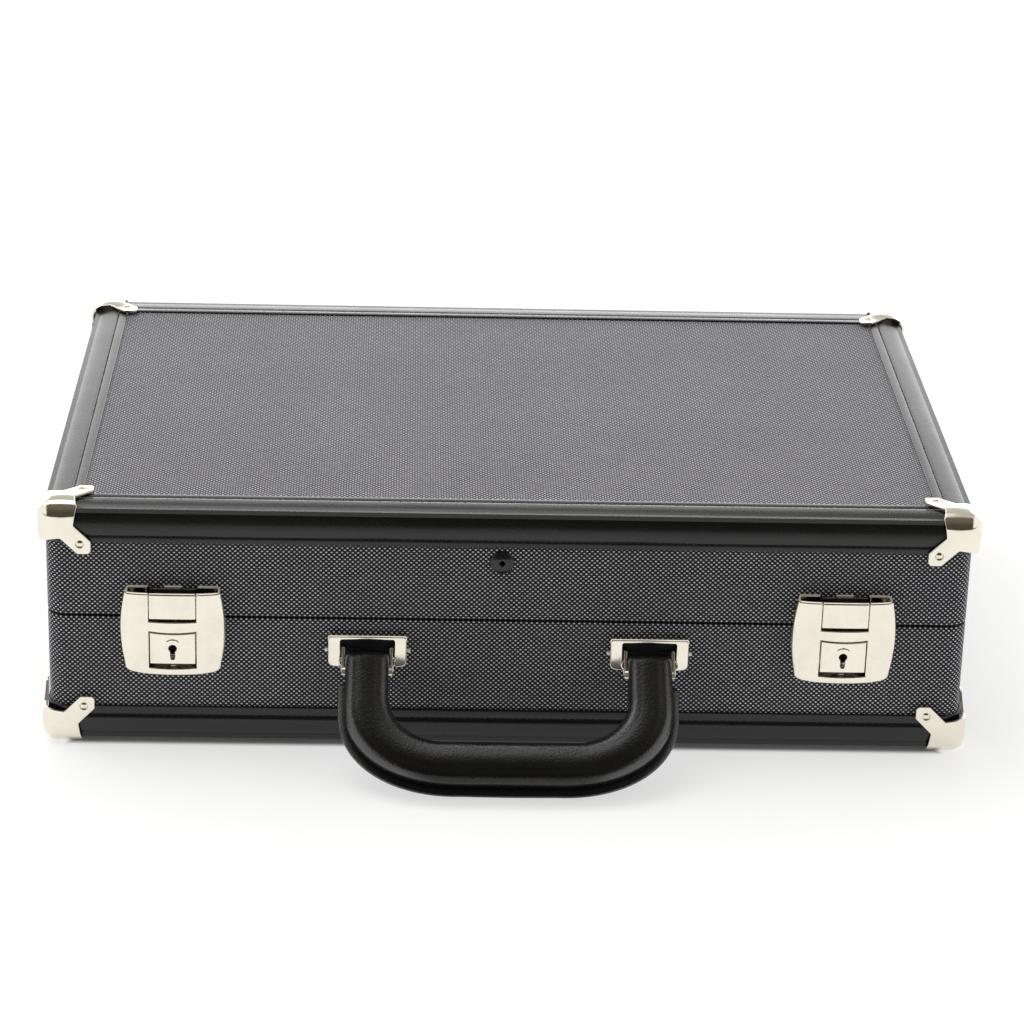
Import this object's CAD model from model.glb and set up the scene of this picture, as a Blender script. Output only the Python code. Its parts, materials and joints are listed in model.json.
"""Looks of a poker chip case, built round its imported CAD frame.

x runs across the case, -y is its front with latches and handle, +y its back with the hinges,
and z is up. Shapes are drawn in millimetres and stored in metres. A flat part is drawn as a
(u, v) outline with a depth w behind its front face, and is then moved into place.
"""

import json
import math
import random
from functools import reduce

import bmesh
import bpy
import numpy as np
from mathutils import Matrix, Vector
from mathutils.geometry import tessellate_polygon


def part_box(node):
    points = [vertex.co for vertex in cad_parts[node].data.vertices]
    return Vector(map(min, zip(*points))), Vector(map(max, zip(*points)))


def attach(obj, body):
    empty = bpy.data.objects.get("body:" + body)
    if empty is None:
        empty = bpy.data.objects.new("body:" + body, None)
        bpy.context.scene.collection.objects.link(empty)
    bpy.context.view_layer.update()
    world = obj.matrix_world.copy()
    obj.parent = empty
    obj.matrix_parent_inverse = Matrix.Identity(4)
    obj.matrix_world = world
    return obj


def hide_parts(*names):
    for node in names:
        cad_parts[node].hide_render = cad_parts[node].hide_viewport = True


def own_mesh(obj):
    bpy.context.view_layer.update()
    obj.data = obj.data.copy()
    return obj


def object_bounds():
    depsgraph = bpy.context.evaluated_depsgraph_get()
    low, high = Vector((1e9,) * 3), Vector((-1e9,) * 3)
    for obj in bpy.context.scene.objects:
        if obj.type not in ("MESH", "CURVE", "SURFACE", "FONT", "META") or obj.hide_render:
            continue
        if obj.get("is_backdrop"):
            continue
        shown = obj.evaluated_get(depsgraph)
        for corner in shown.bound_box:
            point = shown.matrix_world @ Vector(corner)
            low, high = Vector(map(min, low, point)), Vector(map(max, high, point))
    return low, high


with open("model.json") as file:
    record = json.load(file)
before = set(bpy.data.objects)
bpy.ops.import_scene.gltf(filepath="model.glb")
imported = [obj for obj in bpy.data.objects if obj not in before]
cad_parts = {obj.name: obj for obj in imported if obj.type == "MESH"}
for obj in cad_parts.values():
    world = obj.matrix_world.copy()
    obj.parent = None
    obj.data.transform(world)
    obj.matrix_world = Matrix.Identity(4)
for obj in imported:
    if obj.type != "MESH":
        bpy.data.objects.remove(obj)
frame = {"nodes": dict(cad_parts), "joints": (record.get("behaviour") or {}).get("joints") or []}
cad_lo, cad_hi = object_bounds()
random.seed(7)


# ---------------------------------------------------------------- places read from the frame
def box_mm(node):
    low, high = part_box(node)
    return low * 1000, high * 1000


def middle(node, axis=0):
    low, high = box_mm(node)
    return (low[axis] + high[axis]) / 2


def joint_place(name):
    return next(joint for joint in frame["joints"] if joint["name"] == name)["pos_m"]


body_lo, body_hi = box_mm("body_frame")
lid_lo, lid_hi = box_mm("lid_frame")
HALF_X = (body_hi.x - body_lo.x) / 2
HALF_Y = (body_hi.y - body_lo.y) / 2
FRONT, BACK = body_lo.y, body_hi.y
Z_LOW, Z_TOP = box_mm("bottom_panel")[0].z, box_mm("lid_panel")[1].z
CAP_OUT = -HALF_X - box_mm("cap_lid_front_left")[0].x  # how far a cap stands out of the cloth
TRIM_W = box_mm("lid_trim_left")[1].x + HALF_X
TRIM_H = Z_TOP - box_mm("lid_trim_front")[0].z
CORNER_R = 9.0
SIDES = (("left", -1), ("right", 1))
# level, body it rides on, height of its outer face, direction of that face
LEVELS = (("lid", "lid", Z_TOP, 1), ("body", "case_body", Z_LOW, -1))
PITCH_U, PITCH_V = 0.00240, 0.00112  # the weave's repeat along a row and from row to row, m


# ---------------------------------------------------------------- material graphs
class Graph:
    """A small writer for node trees: numbers or sockets go in, sockets come out."""

    def __init__(self, tree):
        self.tree = tree
        tree.nodes.clear()

    def put(self, socket, value):
        if isinstance(value, bpy.types.NodeSocket):
            self.tree.links.new(value, socket)
        elif socket.type == "RGBA":
            socket.default_value = (*value, 1)
        else:
            socket.default_value = value

    def node(self, kind, inputs=None, out=0, **attrs):
        node = self.tree.nodes.new("ShaderNode" + kind)
        for key, value in attrs.items():
            setattr(node, key, value)
        for key, value in (inputs or {}).items():
            self.put(node.inputs[key], value)
        return node.outputs[out]

    def op(self, operation, a, b=0.0):
        return self.node("Math", {0: a, 1: b, 2: 0.0}, operation=operation)

    def add(self, *terms):
        return reduce(lambda a, b: self.op("ADD", a, b), terms)

    def mul(self, *terms):
        return reduce(lambda a, b: self.op("MULTIPLY", a, b), terms)

    def sub(self, a, b):
        return self.op("SUBTRACT", a, b)

    def vary(self, fac, amount, centre=0.5):
        """Swings by amount as fac moves about centre."""
        return self.mul(self.sub(fac, centre), amount)

    def coords(self, kind="Object"):
        return self.node("TexCoord", out=kind)

    def xyz(self, vector):
        return self.node("SeparateXYZ", {0: vector}).node.outputs

    def mapped(self, vector, scale, rotation=(0, 0, 0)):
        return self.node("Mapping", {"Vector": vector, "Scale": scale, "Rotation": rotation})

    def noise(self, vector, scale, detail=3.0, rough=0.6, out="Fac"):
        inputs = {"Vector": vector, "Scale": scale, "Detail": detail, "Roughness": rough}
        return self.node("TexNoise", inputs, out)

    def voronoi(self, vector, scale, feature):
        inputs = {"Vector": vector, "Scale": scale}
        return self.node("TexVoronoi", inputs, "Distance", feature=feature)

    def ramp(self, fac, low, high, start=0.0, end=1.0):
        """Maps fac from low..high to start..end, smoothed and clamped."""
        inputs = {0: fac, 1: low, 2: high, 3: start, 4: end}
        return self.node("MapRange", inputs, interpolation_type="SMOOTHSTEP", clamp=True)

    def mix(self, fac, a, b):
        return self.node("Mix", {0: fac, 6: a, 7: b}, 2, data_type="RGBA")

    def tinted(self, tint, base):
        return self.node("CombineColor", {i: self.mul(tint, base[i]) for i in range(3)})

    def bump(self, height, distance, strength, normal=None):
        inputs = {"Strength": strength, "Distance": distance, "Height": height}
        if normal is not None:
            inputs["Normal"] = normal
        return self.node("Bump", inputs)


class Surface(Graph):
    """The graph of a new material round one Principled shader."""

    def __init__(self, name, display):
        self.material = bpy.data.materials.new(name)
        self.material.use_nodes = True
        self.material.diffuse_color = (*display, 1)
        super().__init__(self.material.node_tree)
        output = self.tree.nodes.new("ShaderNodeOutputMaterial")
        self.shader = self.node("BsdfPrincipled").node
        self.put(output.inputs[0], self.shader.outputs[0])

    def set(self, **values):
        for key, value in values.items():
            self.put(self.shader.inputs[key.replace("_", " ")], value)
        return self.material


def woven(name):
    """Black cloth with grey threads that come up in staggered short floats."""
    g = Surface(name, (0.1, 0.1, 0.11))
    uv = g.node("UVMap")
    drift = g.noise(uv, 60.0, detail=2.0, rough=0.5, out="Color")
    x, y, _ = g.xyz(uv)
    drift_x, drift_y, _ = g.xyz(drift)
    u = g.op("DIVIDE", g.add(x, g.vary(drift_x, 0.00035)), PITCH_U)
    v = g.op("DIVIDE", g.add(y, g.vary(drift_y, 0.00022)), PITCH_V)
    row = g.op("FLOOR", v)
    # every other row is shifted by half a repeat
    u = g.add(u, g.op("FRACT", g.mul(row, 0.5)))
    in_u = g.sub(g.op("FRACT", u), 0.5)
    in_v = g.sub(g.op("FRACT", v), 0.5)
    cell = g.node("CombineXYZ", {0: g.op("FLOOR", u), 1: row, 2: 0.0})
    chance = g.node("TexWhiteNoise", {0: cell}, noise_dimensions="2D")
    # each float is an ellipse with half axes of 0.63 and 0.39 mm
    across = g.mul(in_u, PITCH_U * 1000 / 0.63)
    upward = g.mul(in_v, PITCH_V * 1000 / 0.39)
    distance = g.op("SQRT", g.add(g.mul(across, across), g.mul(upward, upward)))
    dot = g.ramp(distance, 0.42, 1.05, 1.0, 0.0)
    # the crossing black threads show as low ridges between the floats
    from_ridge = g.op("ABSOLUTE", g.sub(g.op("FRACT", g.add(u, 0.5)), 0.5))
    cross = g.ramp(from_ridge, 0.05, 0.30, 1.0, 0.0)
    fibre = g.noise(g.mapped(uv, (900.0, 9000.0, 1.0)), 1.0, detail=2.0)
    worn = g.noise(g.coords(), 22.0)
    level = g.mul(
        g.add(0.80, g.mul(chance, 0.30)),
        g.add(0.82, g.mul(fibre, 0.36)),
        g.ramp(worn, 0.3, 0.7, 0.93, 1.05),
    )
    grey = g.tinted(level, (0.81, 0.81, 0.86))
    # the gaps lighten at low angles of view
    low_view = g.ramp(g.node("LayerWeight", {"Blend": 0.5}, "Facing"), 0.50, 0.67)
    dark = g.mix(cross, (0.0045, 0.0045, 0.0058), (0.010, 0.010, 0.0125))
    dark = g.mix(low_view, dark, (0.052, 0.051, 0.059))
    height = g.add(g.mul(dot, 1.0), g.mul(cross, 0.35), g.mul(fibre, 0.22))
    return g.set(
        Base_Color=g.mix(dot, dark, grey),
        Roughness=g.sub(0.74, g.mul(dot, 0.22)),
        Normal=g.bump(height, distance=0.00012, strength=0.65),
        Sheen_Weight=0.10,
        Sheen_Roughness=0.45,
        Specular_IOR_Level=g.add(0.28, g.mul(dot, 0.30)),
    )


def leather(name, base, rough, grain, depth, broad, spec=0.5, rubbed=0.0):
    """Cell grain, faint broad waviness and slightly uneven gloss."""
    g = Surface(name, base)
    place = g.coords()
    cells = g.voronoi(place, grain, "SMOOTH_F1")
    fine = g.noise(place, grain * 1.7)
    wide = g.noise(place, 38.0, rough=0.5)
    height = g.add(g.mul(cells, -0.8), g.mul(fine, 0.6))
    waves = g.bump(g.mul(wide, 1.0), distance=broad, strength=1.0)
    tint = g.ramp(g.noise(place, 12.0), 0.3, 0.72, 0.82, 1.18)
    g.set(
        Base_Color=g.tinted(tint, base),
        Roughness=g.add(g.vary(wide, 0.12), g.add(rough, g.vary(fine, 0.10))),
        Normal=g.bump(height, distance=depth, strength=0.8, normal=waves),
        Specular_IOR_Level=spec,
    )
    if rubbed:
        # glossier shoulders: where the surface turns to the sides
        worn = g.node("Attribute", out="Fac", attribute_name="rub")
        normal_x = g.xyz(g.node("NewGeometry", out="Normal"))[0]
        turned = g.ramp(g.op("ABSOLUTE", normal_x), 0.10, 0.34)
        gloss = g.add(g.op("MINIMUM", worn, 0.0), g.op("MAXIMUM", worn, turned))
        g.set(Specular_IOR_Level=g.add(spec, g.mul(gloss, rubbed)))
    return g.material


def metal(name, base, rough, brushed=0.0, wear=0.05):
    """Clouded gloss with faint scratches, or brush lines along x."""
    g = Surface(name, base)
    place = g.coords()
    cloud = g.noise(place, 90.0, detail=4.0)
    micro = g.noise(place, 2600.0)
    if brushed:
        streak = g.noise(g.mapped(place, (40.0, 3000.0, 3000.0)), 1.0)
    else:
        scratches = g.mapped(place, (2200.0, 300.0, 260.0), (0.3, 0.5, 0.9))
        streak = g.noise(scratches, 1.0, detail=2.0)
    clouded = g.add(rough, g.vary(cloud, wear * 2, centre=0.42))
    streaked = g.add(clouded, g.mul(g.ramp(streak, 0.62, 0.80), 0.06 + brushed * 0.1))
    height = g.add(g.mul(micro, 0.4), g.mul(streak, 0.6 + brushed))
    return g.set(
        Base_Color=g.tinted(g.ramp(cloud, 0.35, 0.75, 1.0, 0.93), base),
        Metallic=1.0,
        Roughness=g.op("MAXIMUM", 0.03, streaked),
        Normal=g.bump(height, distance=0.000006 + brushed * 0.00001, strength=0.5),
    )


def plastic(name, base, rough):
    """Smooth plastic with slightly clouded tint and gloss."""
    g = Surface(name, base)
    place = g.coords()
    fine = g.noise(place, 900.0)
    cloud = g.noise(place, 80.0)
    return g.set(
        Base_Color=g.tinted(g.ramp(cloud, 0.3, 0.7, 0.9, 1.12), base),
        Roughness=g.add(rough, g.vary(cloud, 0.12)),
        Normal=g.bump(fine, distance=0.00001, strength=0.6),
    )


def flocked(name, base):
    """Short flock: mottled by the lie of the pile, with a soft sheen."""
    g = Surface(name, base)
    place = g.coords()
    pile = g.noise(place, 2400.0, detail=2.0, rough=0.7)
    lie = g.noise(place, 45.0, detail=4.0, rough=0.62)
    specks = g.ramp(g.noise(place, 1300.0, detail=1.0, rough=0.5), 0.66, 0.80)
    tint = g.mul(g.ramp(lie, 0.3, 0.72, 0.7, 1.5), g.add(0.75, g.mul(pile, 0.5)))
    return g.set(
        Base_Color=g.tinted(g.add(tint, g.mul(specks, 0.8)), base),
        Roughness=0.95,
        Normal=g.bump(pile, distance=0.00016, strength=0.8),
        Sheen_Weight=0.5,
        Sheen_Roughness=0.5,
        Sheen_Tint=(0.35, 0.35, 0.37),
        Specular_IOR_Level=0.1,
    )


def foamed(name, base):
    """Open-cell foam: fine pores and a dusty surface."""
    g = Surface(name, base)
    place = g.coords()
    pores = g.voronoi(place, 1500.0, "F1")
    fine = g.noise(place, 2600.0, detail=2.0)
    mottle = g.ramp(g.noise(place, 20.0), 0.3, 0.7, 0.85, 1.15)
    height = g.add(pores, g.mul(fine, 0.3))
    return g.set(
        Base_Color=g.tinted(g.mul(g.ramp(pores, 0.1, 0.65, 0.45, 1.25), mottle), base),
        Roughness=0.97,
        Normal=g.bump(height, distance=0.0003, strength=0.7),
        Specular_IOR_Level=0.12,
    )


# grain is cells per metre; depth and broad are the relief of grain and waviness in metres
WOVEN = woven("woven_cover")
BINDING = leather("binding", base=(0.0055, 0.0055, 0.0052), rough=0.27, grain=950.0,
                  depth=0.000028, broad=0.00005)
THREAD = leather("thread", base=(0.004, 0.004, 0.004), rough=0.62, grain=3000.0,
                 depth=0.00004, broad=0.00001, spec=0.3)
NICKEL = metal("nickel", base=(0.868, 0.820, 0.708), rough=0.10)
STEEL = metal("steel", base=(0.56, 0.55, 0.52), rough=0.26, brushed=1.0, wear=0.08)
SATIN = metal("satin_nickel", base=(0.92, 0.89, 0.81), rough=0.50, wear=0.04)
EDGE = plastic("burnished_edge", base=(0.86, 0.83, 0.75), rough=0.30)
LOCK_STEEL = metal("lock_steel", base=(0.012, 0.011, 0.010), rough=0.55)
DARK_STEEL = metal("dark_steel", base=(0.045, 0.042, 0.038), rough=0.42, brushed=0.3, wear=0.08)
GRIP = leather("handle_leather", base=(0.0036, 0.0036, 0.0035), rough=0.27, grain=1250.0,
               depth=0.00017, broad=0.00003, spec=0.40, rubbed=0.70)
RECESS = plastic("recess_black", base=(0.004, 0.004, 0.004), rough=0.7)
PLASTIC = plastic("black_plastic", base=(0.010, 0.010, 0.011), rough=0.16)
FLOCK = flocked("flock", base=(0.011, 0.011, 0.0125))
FOAM = foamed("foam", base=(0.030, 0.030, 0.033))


# ---------------------------------------------------------------- mesh helpers
def face_out(part):
    bmesh.ops.recalc_face_normals(part, faces=part.faces)
    if part.calc_volume(signed=True) < 0:
        bmesh.ops.reverse_faces(part, faces=part.faces)


def make(name, part, materials, body, nodes=(), angle=36.0, orient=True, weighted=False):
    """Turns a part into an object that rides on body and stands in for the CAD nodes."""
    if orient:
        face_out(part)
    for vert in part.verts:
        vert.co *= 0.001
    mesh = bpy.data.meshes.new(name)
    part.to_mesh(mesh)
    part.free()
    mesh.shade_smooth()
    mesh.set_sharp_from_angle(angle=math.radians(angle))
    for material in materials if isinstance(materials, tuple) else (materials,):
        mesh.materials.append(material)
    obj = bpy.data.objects.new(name, mesh)
    bpy.context.scene.collection.objects.link(obj)
    if weighted:
        obj.modifiers.new("weighted", "WEIGHTED_NORMAL").keep_sharp = True
    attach(obj, body)
    if nodes:
        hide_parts(*nodes)
    return obj


def merge(part, *others):
    """Adds the others' geometry to part and frees them."""
    for other in others:
        mesh = bpy.data.meshes.new("_")
        other.to_mesh(mesh)
        other.free()
        part.from_mesh(mesh)
        bpy.data.meshes.remove(mesh)


def moved(part, function):
    for vert in part.verts:
        vert.co = Vector(function(*vert.co))
    return part


def placed(part, function):
    moved(part, function)
    face_out(part)
    return part


def to_front(x, y, z=0.0):
    """Stands a flat part up with its face to the front."""
    return lambda u, v, w: (x + u, y + w, z + v)


def across(x, y, z):
    """Lays a turned part's axis along x."""
    return lambda u, v, w: (x + w, y + u, z + v)


def clamp(value):
    return max(0.0, min(1.0, value))


def between(value, inputs, results):
    return float(np.interp(value, inputs, results))


def arc(cx, cy, r, start, end, steps):
    angles = [math.radians(start + (end - start) * i / steps) for i in range(steps + 1)]
    return [(cx + r * math.cos(a), cy + r * math.sin(a)) for a in angles]


def circle(cx, cy, r, steps):
    return arc(cx, cy, r, 0, 360, steps)[:-1]


def fillet(points, radii, steps=5):
    """Rounds a polygon's corners; radii is one number or one for each corner."""
    count = len(points)
    if not isinstance(radii, (list, tuple)):
        radii = [radii] * count
    result = []
    for i in range(count):
        corner = Vector(points[i])
        to_last = Vector(points[i - 1]) - corner
        to_next = Vector(points[(i + 1) % count]) - corner
        last, following = to_last.normalized(), to_next.normalized()
        cosine = last.dot(following)
        if cosine < -0.9995:  # all but straight
            result.append(tuple(corner))
            continue
        half = math.acos(max(-1, min(1, cosine))) / 2
        reach = min(radii[i] / math.tan(half), to_last.length * 0.48, to_next.length * 0.48)
        r = reach * math.tan(half)
        centre = corner + (last + following).normalized() * (r / math.sin(half))
        start = corner + last * reach - centre
        end = corner + following * reach - centre
        total = start.angle(end)
        sign = 1 if start.x * end.y - start.y * end.x > 0 else -1
        for k in range(steps + 1):
            turn = sign * total * k / steps
            cos, sin = math.cos(turn), math.sin(turn)
            result.append((centre.x + start.x * cos - start.y * sin,
                           centre.y + start.x * sin + start.y * cos))
    return result


def rounded_rect(x0, y0, x1, y1, radii, steps=5):
    return fillet([(x0, y0), (x1, y0), (x1, y1), (x0, y1)], radii, steps)


def area(points):
    return 0.5 * sum(points[i - 1][0] * points[i][1] - points[i][0] * points[i - 1][1]
                     for i in range(len(points)))


def bridge(part, first, second):
    """Joins two rings of equal length with quads."""
    for k in range(len(first)):
        part.faces.new((first[k - 1], first[k], second[k], second[k - 1]))


def plate(loops, radii, thick, rings=4, back_r=0.0):
    """A flat plate in (u, v, depth) with rounded front edges.

    The first loop is its outline, the others are holes. A radius is a number or a list with
    one for each point; back_r rounds the back edges.
    """
    part = bmesh.new()
    fronts, backs = [], []
    for index, (points, radius) in enumerate(zip(loops, radii)):
        points = list(points)
        radius = list(radius) if isinstance(radius, (list, tuple)) else [radius] * len(points)
        if area(points) * (1 if index == 0 else -1) < 0:
            points, radius = points[::-1], radius[::-1]
        flat = np.array(points, float)
        radius = np.array(radius, float)[:, None]
        step = np.roll(flat, -1, 0) - flat
        step /= np.maximum(np.linalg.norm(step, axis=1), 1e-9)[:, None]
        left = np.stack([-step[:, 1], step[:, 0]], 1)
        before = np.roll(left, 1, 0)
        mitre = (left + before) / np.maximum(1 + (left * before).sum(1), 0.4)[:, None]
        rows = []
        if back_r:
            rows.append((flat + mitre * back_r, np.full(len(flat), thick)))
            rows.append((flat + mitre * back_r * 0.3, np.full(len(flat), thick - back_r * 0.3)))
        rows.append((flat, np.full(len(flat), thick - back_r)))
        for k in range(rings + 1):
            a = math.pi / 2 * k / rings
            inset = mitre * radius * (1 - math.cos(a))
            rows.append((flat + inset, (radius * (1 - math.sin(a)))[:, 0]))
        rows = [[part.verts.new((x, y, w)) for (x, y), w in zip(*row)] for row in rows]
        for first, second in zip(rows, rows[1:]):
            bridge(part, first, second)
        fronts.append(rows[-1])
        backs.append(rows[0])
    for face in (fronts, backs):
        verts = [vert for ring in face for vert in ring]
        outlines = [[Vector((vert.co.x, vert.co.y, 0)) for vert in ring] for ring in face]
        for triangle in tessellate_polygon(outlines):
            if len(set(triangle)) == 3:
                # guards against a triangle given twice
                try:
                    part.faces.new([verts[i] for i in triangle])
                except ValueError:
                    pass
    return part


def bisect(part, value, axis, clear=False):
    bmesh.ops.bisect_plane(part, geom=part.verts[:] + part.edges[:] + part.faces[:], dist=1e-4,
                           plane_co=Vector(axis) * value, plane_no=axis, clear_inner=clear)


def grid_cut(part, us, vs):
    for values, axis in ((us, (1, 0, 0)), (vs, (0, 1, 0))):
        for value in values:
            bisect(part, value, axis)


def spread(start, end, step):
    """Even places between start and end, about a step apart, without the ends."""
    count = max(1, round((end - start) / step))
    return [start + (end - start) * i / count for i in range(1, count)]


def lathe(profile, sides):
    """Turns (radius, depth) points about the depth axis; a radius of 0 closes the end."""
    part = bmesh.new()
    rows = []
    angles = [2 * math.pi * i / sides for i in range(sides)]
    for r, w in profile:
        if r <= 1e-6:
            rows.append([part.verts.new((0, 0, w))])
        else:
            rows.append([part.verts.new((r * math.cos(a), r * math.sin(a), w)) for a in angles])
    for first, second in zip(rows, rows[1:]):
        if len(first) == 1:
            for i in range(sides):
                part.faces.new((first[0], second[i - 1], second[i]))
        elif len(second) == 1:
            for i in range(sides):
                part.faces.new((first[i - 1], first[i], second[0]))
        else:
            bridge(part, first, second)
    for row in (rows[0], rows[-1]):
        if len(row) > 1:
            part.faces.new(row)
    return part


def barrel(start, end, r, chamfer, sides):
    """A cylinder with chamfered ends."""
    profile = [(0, start), (r - chamfer, start), (r, start + chamfer),
               (r, end - chamfer), (r - chamfer, end), (0, end)]
    return lathe(profile, sides)


def solid_box(low, high, r, segments=2):
    part = bmesh.new()
    bmesh.ops.create_cube(part, size=1.0)
    for vert in part.verts:
        vert.co = Vector([low[i] + (high[i] - low[i]) * (vert.co[i] + 0.5) for i in range(3)])
    bmesh.ops.bevel(part, geom=part.edges[:], offset=r, segments=segments, profile=0.5,
                    affect="EDGES", clamp_overlap=True)
    return part


def front_box(x, xs, ys, zs, r, segments=2):
    """A box on the front wall: xs from x, ys from the wall, zs as they are."""
    return solid_box((x + xs[0], FRONT + ys[0], zs[0]), (x + xs[1], FRONT + ys[1], zs[1]),
                     r, segments)


def loft(rows, closed=False, part=None):
    """Skins rows of points; the ends are capped unless the rows close on themselves."""
    if part is None:
        part = bmesh.new()
    rows = [[part.verts.new(point) for point in row] for row in rows]
    for first, second in zip(rows, rows[1:]):
        bridge(part, first, second)
    if closed:
        bridge(part, rows[-1], rows[0])
    else:
        part.faces.new(rows[0])
        part.faces.new(rows[-1])
    return part


def tube(points, radius, sides, closed=False, part=None):
    """A round wire; radius is one number or one for each point."""
    points = [Vector(point) for point in points]
    count = len(points)
    rings = []
    up = None
    for i, point in enumerate(points):
        before = points[i - 1] if closed or i > 0 else point
        after = points[(i + 1) % count] if closed or i < count - 1 else point
        along = (after - before).normalized()
        if up is None:
            up = along.orthogonal().normalized()
        up = (up - along * up.dot(along)).normalized()
        side = along.cross(up)
        r = radius[i] if isinstance(radius, (list, tuple)) else radius
        angles = [2 * math.pi * k / sides for k in range(sides)]
        rings.append([point + (up * math.cos(a) + side * math.sin(a)) * r for a in angles])
    return loft(rings, closed, part)


# ---------------------------------------------------------------- sweeps round the case
ORDER = ("front", "right", "back", "left")
OUTWARD = {"front": (0, -1, 0), "right": (1, 0, 0), "back": (0, 1, 0), "left": (-1, 0, 0)}


def ring_point(station, out):
    """Plan position of a station, out beyond the cloth.

    A station is (side, -1..1) along a wall or (corner, degrees); corner i follows side i.
    """
    kind, t = station
    half_x, half_y, r = HALF_X + out, HALF_Y + out, max(CORNER_R + out, 0.0)
    if kind == "front":
        return t * (half_x - r), -half_y
    if kind == "back":
        return -t * (half_x - r), half_y
    if kind == "right":
        return half_x, t * (half_y - r)
    if kind == "left":
        return -half_x, -t * (half_y - r)
    sx, sy = ((1, -1), (1, 1), (-1, 1), (-1, -1))[kind]
    a = math.radians(-90 + 90 * kind + t)
    return sx * (half_x - r) + r * math.cos(a), sy * (half_y - r) + r * math.sin(a)


def wall_stations(side, steps):
    return [(side, -1 + 2 * k / steps) for k in range(steps + 1)]


def side_stations(i, bend=7):
    """One wall with half of the corner at each of its ends."""
    before = [((i - 1) % 4, 45 + 45 * k / bend) for k in range(bend)]
    after = [(i, 45 * k / bend) for k in range(1, bend + 1)]
    return before + wall_stations(ORDER[i], 16) + after


def sweep(profile, path, closed=False):
    """profile is (outwards, z) points; the UV map holds metres along the path and along z."""
    part = bmesh.new()
    layer = part.loops.layers.uv.new("UVMap")
    plan = [ring_point(station, 0.0) for station in path]
    run = [0.0]
    for first, second in zip(plan, plan[1:]):
        run.append(run[-1] + math.dist(second, first))
    if closed:
        # stretched so that a whole number of weave repeats fits round the case
        run.append(run[-1] + math.dist(plan[-1], plan[0]))
        repeat = PITCH_U * 1000
        fit = round(run[-1] / repeat) * repeat / run[-1]
        run = [length * fit for length in run]
    rows = [[part.verts.new((*ring_point(station, out), z)) for out, z in profile]
            for station in path]
    for i in range(len(rows) if closed else len(rows) - 1):
        first, second = rows[i], rows[(i + 1) % len(rows)]
        for k in range(len(profile)):
            k2 = (k + 1) % len(profile)
            face = part.faces.new((first[k], second[k], second[k2], first[k2]))
            corners = ((i, k), (i + 1, k), (i + 1, k2), (i, k2))
            for loop, (along, up) in zip(face.loops, corners):
                loop[layer].uv = (run[along] * 0.001, profile[up][1] * 0.001)
    if not closed:
        part.faces.new(rows[0])
        part.faces.new(rows[-1][::-1])
    return part


# ---------------------------------------------------------------- cloth on walls and panels
WALL = 5.0
# (outwards, away from the edge) points of the rounded edge where lid and body meet
SOFT_EDGE = [(-WALL + 0.6, 0), (-1.4, 0), (-0.9, 0.08), (-0.35, 0.30), (-0.08, 0.62), (0, 1.1)]

ring = []
for i, side in enumerate(ORDER):
    ring += wall_stations(side, 12)
    ring += [(i, 90 * k / 12) for k in range(1, 12)]

low, high = body_lo.z + 0.4, body_hi.z
profile = [(-WALL, low), (0, low)] + [(out, high - d) for out, d in SOFT_EDGE[::-1]]
profile += [(-WALL, high - 0.6)]
make("body_wall_cloth", sweep(profile, ring, True), WOVEN, "case_body",
     ["body_frame"], 50, weighted=True)

low, high = lid_lo.z, lid_hi.z - 0.4
profile = [(out, low + d) for out, d in SOFT_EDGE]
profile += [(0, high), (-WALL, high), (-WALL, low + 0.6)]
make("lid_wall_cloth", sweep(profile, ring, True), WOVEN, "lid",
     ["lid_frame"], 50, weighted=True)


def panel_cloth(name, node, body, face_z, sign):
    low, high = box_mm(node)
    half_x, half_y = (high.x - low.x) / 2, (high.y - low.y) / 2
    outline = rounded_rect(-half_x, -half_y, half_x, half_y, 3.0)
    part = plate([outline], [0.5], high.z - low.z, 3)
    grid_cut(part, spread(-half_x, half_x, 30), spread(-half_y, half_y, 30))
    moved(part, lambda u, v, w: (u, v, face_z - sign * w))
    layer = part.loops.layers.uv.new("UVMap")
    for face in part.faces:
        for loop in face.loops:
            loop[layer].uv = (loop.vert.co.x * 0.001, loop.vert.co.y * 0.001)
    make(name, part, WOVEN, body, [node])


panel_cloth("lid_top_cloth", "lid_panel", "lid", Z_TOP, 1)
panel_cloth("bottom_cloth", "bottom_panel", "case_body", Z_LOW, -1)

# ---------------------------------------------------------------- padded, sewn edge bindings
FACE_STITCH = 4.4  # from the binding's edge on the face to the sewn groove
SIDE_STITCH = {"lid": 3.3, "body": 4.5}  # the same on the wall
STITCH_PITCH, STITCH_LENGTH, STITCH_R = 3.2, 2.55, 0.27
# (share of the stitch's length, height, share of its radius)
STITCH = ((0.0, -0.30, 0.6), (0.12, 0.02, 1), (0.5, 0.12, 1.05), (0.88, 0.02, 1),
          (1.0, -0.30, 0.6))


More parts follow.
